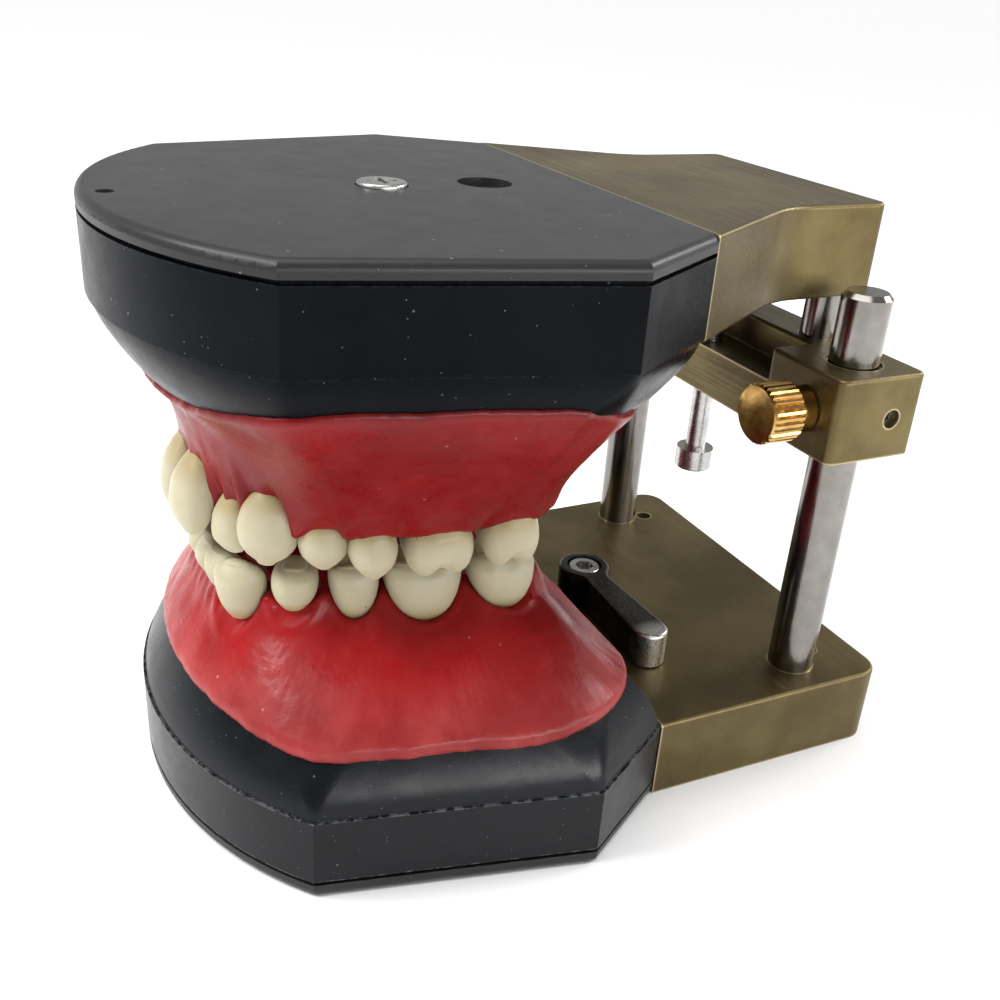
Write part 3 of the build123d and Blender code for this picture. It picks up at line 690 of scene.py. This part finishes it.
def tray_ring(node, angles, heights):
    """Radius of the tray's outer surface at given heights, seen from the wax's centre."""
    mesh = frame["nodes"][node].data
    points = [v.co / MM for v in mesh.vertices]
    tree = BVHTree.FromPolygons(points, [tuple(p.vertices) for p in mesh.polygons])
    cx, cy = WAX_CENTRE
    found = []
    for angle, z in zip(angles, heights):
        out = Vector((math.cos(angle), math.sin(angle), 0))
        origin = Vector((cx, cy, float(z))) + out * 120
        hit = tree.ray_cast(origin, -out)[0]
        found.append((hit - Vector((cx, cy, float(z)))).length if hit else 30.0)
    return soften(np.array(found), 2)


def wax_mesh(jaw, table, tray_node):
    """Wax on one tray: lip on the tray's shoulder, flared skirt, gum line, crest and inner room."""
    way = 1 if jaw == "lower" else -1
    angles = np.linspace(-math.pi, math.pi, AROUND_WAX, endpoint=False)
    front = ease(math.radians(62), math.radians(18), np.abs(angles + math.pi / 2))
    rear = ease(0.12, 0.5, np.sin(angles))
    near_z, front_z, rear_z = WAX_EDGE[jaw]
    edge_z = near_z + (front_z - near_z) * front + (rear_z - near_z) * rear
    circle = np.stack([np.cos(angles), np.sin(angles), np.zeros_like(angles)], 1)
    for strength, scale, seed in EDGE_WAVES:
        edge_z = edge_z + strength * lumps(circle, scale, seed)
    edge_r = tray_ring(tray_node, angles, edge_z)
    edge_r = np.minimum(edge_r, soften(edge_r, 500) + 0.4 + 9.0 * ease(0.25, -0.15, np.sin(angles)))
    gum_r, gum_z = ring_at(gum_ring(jaw, table), angles)
    calm_r, calm_z = soften(gum_r, 260), soften(gum_z, 260)
    crest_z = PAPILLA[jaw]
    floor_z = ROOM_FLOOR[jaw]
    rings = []
    rings.append((edge_r - 4.0, edge_z - way * 3.0))
    rings.append((edge_r - 1.0, edge_z - way * 0.9))
    for out, up in LIP[jaw]:
        rings.append((edge_r + out, edge_z + way * up))
    lip_r, lip_z = rings[-1]
    share = FLARE[jaw][0] + (FLARE[jaw][1] - FLARE[jaw][0]) * front
    for k in range(1, 47):
        q = (k / 46) ** 0.9
        rise = share * (1 - (1 - q) ** 2.2) + (1 - share) * q ** 2.6
        radius = lip_r + (calm_r - lip_r) * q + (gum_r - calm_r) * q ** SCALLOP[jaw]
        height = lip_z + (calm_z - lip_z) * rise + (gum_z - calm_z) * q ** SCALLOP[jaw]
        rings.append((radius, height))
    inner_r = gum_r - CREST_DEPTH
    for k in range(1, 9):
        q = k / 8
        rings.append((gum_r - CREST_STEP * q, gum_z + (crest_z - gum_z) * ease(0, 1, q)))
    for k in range(1, 17):
        q = k / 16
        z = crest_z + (floor_z - crest_z) * (0.25 * q + 0.75 * ease(0.25, 1, q))
        rings.append((gum_r - CREST_STEP + (inner_r - gum_r + CREST_STEP) * q, np.zeros_like(angles) + z))
    for k in range(1, 9):
        q = k / 9
        rings.append((inner_r * (1 - q), np.full_like(angles, floor_z)))
    cx, cy = WAX_CENTRE
    shape = []
    for radius, z in rings:
        across, forward = cx + np.cos(angles) * radius, cy + np.sin(angles) * radius
        shape.append(np.stack([across, forward, z + 0 * angles], 1))
    grid = np.array(shape)
    # the arch is open at the rear: sink the crest there
    x, y, z = grid[..., 0], grid[..., 1], grid[..., 2]
    behind = ease(REAR_DROP[jaw][0], REAR_DROP[jaw][1], y)
    middle = ease(13.0, 8.5, np.abs(x)) * ease(-12.0, -4.0, y)
    limit = edge_z[None, :] + way * 1.0
    above = np.clip(way * (z - limit), 0, None)
    z -= way * above * np.clip(behind * 0.55, 0, 1)
    above_floor = np.clip(way * (z - floor_z), 0, None)
    z -= way * above_floor * middle
    return grid, angles


def wax_details(jaw, table, grid):
    """Raised collars round the necks, tool marks and hand-worked unevenness."""
    normal = np.cross(np.roll(grid, -1, 1) - np.roll(grid, 1, 1), np.gradient(grid, axis=0))
    length = np.linalg.norm(normal, axis=2, keepdims=True)
    normal = normal / np.maximum(length, 1e-9)
    way = 1 if jaw == "lower" else -1
    flip = np.sign(np.median(normal[30, :, 2]) * way)
    normal = normal * (flip if flip != 0 else 1)
    push = np.zeros(grid.shape[:2])
    for kind, form in table.items():
        x, y, width, depth, turn, lean, gum_z, tip_z = form
        lean_shift = abs(tip_z - gum_z) * math.sin(math.radians(lean))
        r = math.radians(turn)
        inward = (-math.sin(r), math.cos(r))
        cx = x + inward[0] * (depth / 2 + lean_shift)
        cy = y + inward[1] * (depth / 2 + lean_shift)
        for side in (1, -1):
            dx, dy = grid[..., 0] * side - cx, grid[..., 1] - cy
            lx = math.cos(r) * dx + math.sin(r) * dy
            ly = -math.sin(r) * dx + math.cos(r) * dy
            half_w, half_d = 0.40 * width, 0.40 * depth
            rho = np.sqrt((lx / half_w) ** 2 + (ly / half_d) ** 2)
            gap = (rho - 1) * min(half_w, half_d)
            close = np.exp(-((grid[..., 2] - gum_z) / 2.6) ** 2)
            push += COLLAR[jaw] * np.exp(-((gap - 1.0) / 0.55) ** 2) * close
            # the root shows as a low swelling under the tooth
            below = ease(12.0, 2.0, np.abs(grid[..., 2] - gum_z))
            swell = np.exp(-(lx / (0.42 * width)) ** 2) * below
            push += 0.12 * swell * ease(4.0, -1.0, ly) * ease(9.0, 5.0, np.abs(ly))
    flat = grid.reshape(-1, 3)
    for strength, scale, seed in SKIN_WAVES:
        push += strength * lumps(flat, scale, seed).reshape(push.shape)
    fade = np.ones(grid.shape[0])
    fade[:4] = 0
    fade[4:8] = np.linspace(0.2, 1, 4)
    return grid + normal * (push * fade[:, None])[..., None]


PAPILLA = {"upper": 40.0, "lower": 30.6}
ROOM_FLOOR = {"upper": 52.0, "lower": 21.6}
WAX_EDGE = {"upper": (60.3, 56.0, 56.6), "lower": (17.3, 18.2, 18.2)}
LIP = {
    "upper": ((-0.1, -0.35), (0.22, -0.12), (0.38, 0.22), (0.36, 0.55)),
    "lower": ((-0.1, -0.40), (0.35, -0.32), (0.70, 0.05), (0.86, 0.55), (0.84, 1.10), (0.66, 1.60)),
}
FLARE = {"upper": (0.50, 0.12), "lower": (0.72, 0.45)}
REAR_DROP = {"upper": (-2.5, 6.0), "lower": (-1.0, 8.5)}
GUM_OUT = 0.15
EDGE_WAVES = ((0.22, 6.0, 1), (0.13, 26.0, 2), (0.06, 80.0, 3))
SKIN_WAVES = ((0.15, 0.13, 4), (0.05, 0.42, 5), (0.025, 1.6, 6))
COLLAR = {"upper": 0.18, "lower": 0.34}
SCALLOP = {"upper": 11, "lower": 7}
REAR_OF_GUM = {
    "upper": [(23.0, -2.6, 42.5), (20.5, 0.2, 43.5), (15.5, 1.0, 44.0), (10.0, 1.0, 45.0)],
    "lower": [(20.0, -1.4, 27.6), (18.0, 1.6, 26.8), (14.0, 2.8, 26.2), (9.0, 3.0, 25.0)],
}


def add_wax(jaw, table, tray_node, body, material):
    grid, angles = wax_mesh(jaw, table, tray_node)
    grid = wax_details(jaw, table, grid)
    count, around = grid.shape[:2]
    vertices = list(grid.reshape(-1, 3))
    faces = []
    for i in range(count - 1):
        for j in range(around):
            k = (j + 1) % around
            faces.append((i * around + j, i * around + k, (i + 1) * around + k, (i + 1) * around + j))
    top, bottom = len(vertices), len(vertices) + 1
    vertices.append(grid[-1].mean(axis=0))
    under = grid[0].mean(axis=0)
    vertices.append(under)
    for j in range(around):
        k = (j + 1) % around
        faces.append(((count - 1) * around + j, (count - 1) * around + k, top))
        faces.append((k, j, bottom))
    if jaw == "upper":
        faces = [tuple(reversed(face)) for face in faces]
    new_object("wax_" + jaw, vertices, faces, material, body, jaw + "_wax")


add_camera()
add_studio()
materials = make_materials()
slots = {row["node"]: row["material_slot"] for row in frame["record"]["subparts"]}
for node, piece in frame["nodes"].items():
    piece.data.materials.clear()
    piece.data.materials.append(materials[slots[node]])
add_teeth("upper", UPPER_TEETH, "upper_jaw", materials["tooth_resin"])
add_teeth("lower", LOWER_TEETH, "lower_jaw", materials["tooth_resin"])
add_wax("upper", UPPER_TEETH, "upper_tray", "upper_jaw", materials["wax"])
add_wax("lower", LOWER_TEETH, "lower_tray", "lower_jaw", materials["wax"])
